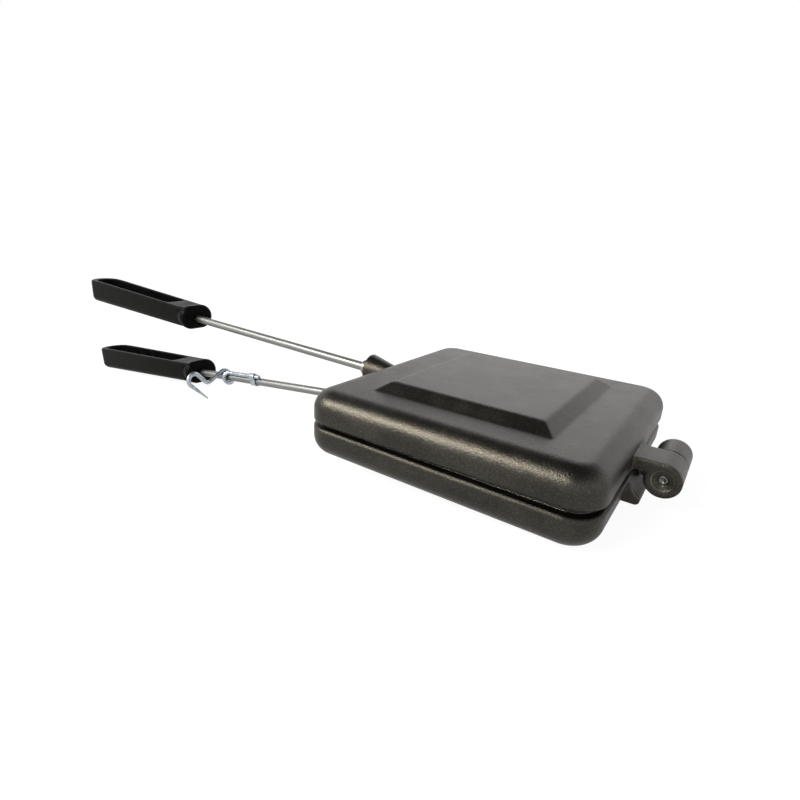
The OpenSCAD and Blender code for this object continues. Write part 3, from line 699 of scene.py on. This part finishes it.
def makeNutSteel(look):
    material, tree, shader, place = newMaterial("dullNutSteel")
    grain = addNode(tree, "ShaderNodeGroup", node_tree=castGrain)
    grain.inputs["Grain size"].default_value = look["grainSize"]
    tree.links.new(place, grain.inputs["Vector"])
    edgeMask = addNode(tree, "ShaderNodeGroup", node_tree=edgeBend)
    edgeMask.inputs["Radius"].default_value = look["edgeRadius"]
    tree.links.new(place, edgeMask.inputs["Vector"])
    base = ramp(tree, grain.outputs["Tone"], [(0.35, look["darker"]), (0.65, look["lighter"])])
    edgeColoured = mixColour(tree, edgeMask.outputs["Mask"], base, look["edgeColour"])
    tree.links.new(edgeColoured, shader.inputs["Base Color"])
    tree.links.new(spread(tree, grain.outputs["Tone"], 0.3, 0.7, *look["roughness"]),
                   shader.inputs["Roughness"])
    setSockets(shader, Metallic=1.0)
    bumped(tree, shader, grain.outputs["Height"], look["grainDepth"], look["grainStrength"])
    return material


pinLook = {
    "darker": (0.10, 0.097, 0.09), "lighter": (0.20, 0.195, 0.185), "roughness": (0.22, 0.4),
    "grainScale": 1400.0, "grainDepth": 0.04 * mm, "grainStrength": 0.5,
}


def makePinSteel(look):
    material, tree, shader, place = newMaterial("peenedPinSteel")
    noise = addNode(tree, "ShaderNodeTexNoise", {"Vector": place, "Scale": look["grainScale"], "Detail": 3.0})
    base = ramp(tree, noise.outputs["Fac"], [(0.35, look["darker"]), (0.6, look["lighter"])])
    tree.links.new(base, shader.inputs["Base Color"])
    tree.links.new(spread(tree, noise.outputs["Fac"], 0.3, 0.7, *look["roughness"]),
                   shader.inputs["Roughness"])
    setSockets(shader, Metallic=1.0)
    bumped(tree, shader, noise.outputs["Fac"], look["grainDepth"], look["grainStrength"])
    return material


gripLook = {
    "darker": (0.0022, 0.0022, 0.0024), "lighter": (0.0040, 0.0040, 0.0042),
    "scuffColour": (0.03, 0.03, 0.03), "scuffRadius": 0.6 * mm, "scuffShare": 0.4,
    "roughness": (0.28, 0.38), "specular": 0.04,
    "rippleScale": 130.0, "grainScale": 2600.0, "grainShare": 0.12, "rippleDepth": 0.1 * mm,
    "rippleStrength": 0.35,
}


def makeGripPlastic(look):
    # Black phenolic moulding: near smooth, with a slow ripple and faint scuffs along its edges
    material, tree, shader, place = newMaterial("blackGripPlastic")
    ripple = addNode(tree, "ShaderNodeTexNoise", {"Vector": place, "Scale": look["rippleScale"],
                                                  "Detail": 3.0})
    grain = addNode(tree, "ShaderNodeTexNoise", {"Vector": place, "Scale": look["grainScale"], "Detail": 2.0})
    edgeMask = addNode(tree, "ShaderNodeGroup", node_tree=edgeBend)
    edgeMask.inputs["Radius"].default_value = look["scuffRadius"]
    tree.links.new(place, edgeMask.inputs["Vector"])
    base = ramp(tree, ripple.outputs["Fac"], [(0.35, look["darker"]), (0.65, look["lighter"])])
    scuffMask = maths(tree, "MULTIPLY", edgeMask.outputs["Mask"], look["scuffShare"])
    tree.links.new(mixColour(tree, scuffMask, base, look["scuffColour"]), shader.inputs["Base Color"])
    tree.links.new(spread(tree, ripple.outputs["Fac"], 0.3, 0.7, *look["roughness"]),
                   shader.inputs["Roughness"])
    shader.inputs["Specular IOR Level"].default_value = look["specular"]
    fine = maths(tree, "MULTIPLY", grain.outputs["Fac"], look["grainShare"])
    height = maths(tree, "ADD", ripple.outputs["Fac"], fine)
    bumped(tree, shader, height, look["rippleDepth"], look["rippleStrength"])
    return material


zincLook = {
    "darker": (0.36, 0.41, 0.47), "lighter": (0.56, 0.61, 0.67), "roughness": (0.24, 0.42),
    "patchScale": 320.0, "markScale": 1900.0, "markShare": 0.4, "markDepth": 0.02 * mm, "markStrength": 0.4,
}


def makeLatchZinc(look):
    # Bright zinc plating: bluish, with dull patches and fine marks of the bending
    material, tree, shader, place = newMaterial("zincLatchWire")
    patches = addNode(tree, "ShaderNodeTexNoise", {"Vector": place, "Scale": look["patchScale"],
                                                   "Detail": 4.0})
    marks = addNode(tree, "ShaderNodeTexNoise", {"Vector": place, "Scale": look["markScale"], "Detail": 2.0})
    base = ramp(tree, patches.outputs["Fac"], [(0.35, look["darker"]), (0.65, look["lighter"])])
    tree.links.new(base, shader.inputs["Base Color"])
    tree.links.new(spread(tree, patches.outputs["Fac"], 0.3, 0.7, *look["roughness"]),
                   shader.inputs["Roughness"])
    setSockets(shader, Metallic=1.0)
    fine = maths(tree, "MULTIPLY", marks.outputs["Fac"], look["markShare"])
    height = maths(tree, "ADD", patches.outputs["Fac"], fine)
    bumped(tree, shader, height, look["markDepth"], look["markStrength"])
    return material


def dress(thing, material):
    # Gives every material slot of an object the same finish
    if not thing.data.materials:
        thing.data.materials.append(material)
    for slot in thing.material_slots:
        slot.material = material


upperAxes = rodAxes("upper_rod", gripSettings["rodInGrip"])
dress(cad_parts["upper_plate"], makeCastMetal("upperCastMetal", castLook))
dress(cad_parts["lower_plate"], makeCastMetal("lowerCastMetal", castLook))
dress(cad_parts["upper_rod"], makeDrawnSteel("upperRodSteel", rodLook, upperAxes))
dress(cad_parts["lower_rod"], makeDrawnSteel("lowerRodSteel", rodLook, lowerAxes))
nutSteel = makeNutSteel(nutLook)
for nodeName in ("upper_rod_nut", "lower_rod_nut"):
    dress(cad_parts[nodeName], nutSteel)
gripPlastic = makeGripPlastic(gripLook)
for grip in (upperGrip, lowerGrip):
    dress(grip, gripPlastic)
latchZinc = makeLatchZinc(zincLook)
for piece in (latchWire, latchBand):
    dress(piece, latchZinc)
dress(hingePin, makePinSteel(pinLook))
print("finishes:", len(bpy.data.materials), "materials")


studio = {
    "floorRadius": 6.0, "floorTone": 0.5, "floorGlow": 0.7, "mirroredGlow": 0.3, "glowStrength": 1.33,
    "overheadLight": 0.14, "paleBelow": 0.46, "dimAbove": 0.78,
    "cameraAt": (0.23777, -0.21959, 0.10515), "yaw": 34.625, "pitch": 17.349, "roll": -0.043,
    "focalPixels": 508.849, "imagePixels": 800, "sensor": 36.0,
    "softboxesAimAt": (0.10, 0.0, 0.03),
    "softboxes": {
        "frontSoftbox": {"at": (-0.45, -0.90, 0.82), "size": (1.0, 0.32), "watts": 20.0,
                         "colour": (1, 0.96, 0.84)},
        "backSoftbox": {"at": (-0.20, 1.30, 0.95), "size": (0.9, 0.5), "watts": 2.0,
                        "colour": (1, 1, 1)},
    },
}


def makeFloor(s):
    # Round sheet of paper. To the camera it also glows, so that it goes over into the white
    # behind it, and mirrored in metal it glows less.
    angle = np.linspace(0, 2 * math.pi, 96, endpoint=False)
    ring = np.stack([s["floorRadius"] * np.cos(angle), s["floorRadius"] * np.sin(angle), 0 * angle], -1)
    mesh = bpy.data.meshes.new("paleFloor")
    mesh.from_pydata(ring.tolist(), [], [list(range(len(ring)))])
    floor = bpy.data.objects.new("paleFloor", mesh)
    bpy.context.scene.collection.objects.link(floor)
    material = bpy.data.materials.new("paleFloorPaper")
    material.use_nodes = True
    tree = material.node_tree
    tree.nodes.clear()
    diffuse = addNode(tree, "ShaderNodeBsdfDiffuse", {"Color": (*[s["floorTone"]] * 3, 1)})
    glow = addNode(tree, "ShaderNodeEmission", {"Color": (1, 1, 1, 1), "Strength": s["glowStrength"]})
    path = addNode(tree, "ShaderNodeLightPath")
    mirrored = maths(tree, "MAXIMUM", path.outputs["Is Glossy Ray"], path.outputs["Is Transmission Ray"])
    share = maths(tree, "MAXIMUM", maths(tree, "MULTIPLY", path.outputs["Is Camera Ray"], s["floorGlow"]),
                  maths(tree, "MULTIPLY", mirrored, s["mirroredGlow"]))
    both = addNode(tree, "ShaderNodeMixShader", {"Fac": share})
    tree.links.new(diffuse.outputs["BSDF"], both.inputs[1])
    tree.links.new(glow.outputs["Emission"], both.inputs[2])
    result = addNode(tree, "ShaderNodeOutputMaterial")
    tree.links.new(both.outputs["Shader"], result.inputs["Surface"])
    floor.data.materials.append(material)


def makeWorld(s):
    # White surroundings up to the height where a studio's walls end, and a dim ceiling
    world = bpy.data.worlds.new("studioWorld")
    bpy.context.scene.world = world
    world.use_nodes = True
    tree = world.node_tree
    tree.nodes.clear()
    generated = addNode(tree, "ShaderNodeTexCoord").outputs["Generated"]
    heading = addNode(tree, "ShaderNodeSeparateXYZ", {0: generated})
    strength = spread(tree, heading.outputs["Z"], s["paleBelow"], s["dimAbove"], 1.0, s["overheadLight"])
    light = addNode(tree, "ShaderNodeBackground", {"Color": (1, 1, 1, 1), "Strength": strength})
    result = addNode(tree, "ShaderNodeOutputWorld")
    tree.links.new(light.outputs["Background"], result.inputs["Surface"])


def makeSoftbox(name, box, target):
    data = bpy.data.lights.new(name, "AREA")
    data.shape = "RECTANGLE"
    data.size, data.size_y = box["size"]
    data.energy = box["watts"]
    data.color = box["colour"]
    lamp = bpy.data.objects.new(name, data)
    lamp.location = box["at"]
    lamp.rotation_euler = (Vector(target) - Vector(box["at"])).to_track_quat("-Z", "Y").to_euler()
    bpy.context.scene.collection.objects.link(lamp)


def makeCamera(s):
    data = bpy.data.cameras.new("photoCamera")
    data.sensor_width = s["sensor"]
    data.lens = s["focalPixels"] / s["imagePixels"] * s["sensor"]
    data.clip_start = 0.01
    camera = bpy.data.objects.new("photoCamera", data)
    camera.matrix_world = (
        Matrix.Translation(s["cameraAt"]) @ Matrix.Rotation(math.radians(s["yaw"]), 4, "Z")
        @ Matrix.Rotation(math.radians(90 - s["pitch"]), 4, "X")
        @ Matrix.Rotation(math.radians(s["roll"]), 4, "Z"))
    bpy.context.scene.collection.objects.link(camera)
    bpy.context.scene.camera = camera


makeFloor(studio)
makeWorld(studio)
for boxName, box in studio["softboxes"].items():
    makeSoftbox(boxName, box, studio["softboxesAimAt"])
makeCamera(studio)
bpy.context.scene.view_settings.view_transform = "Standard"
print("studio done")
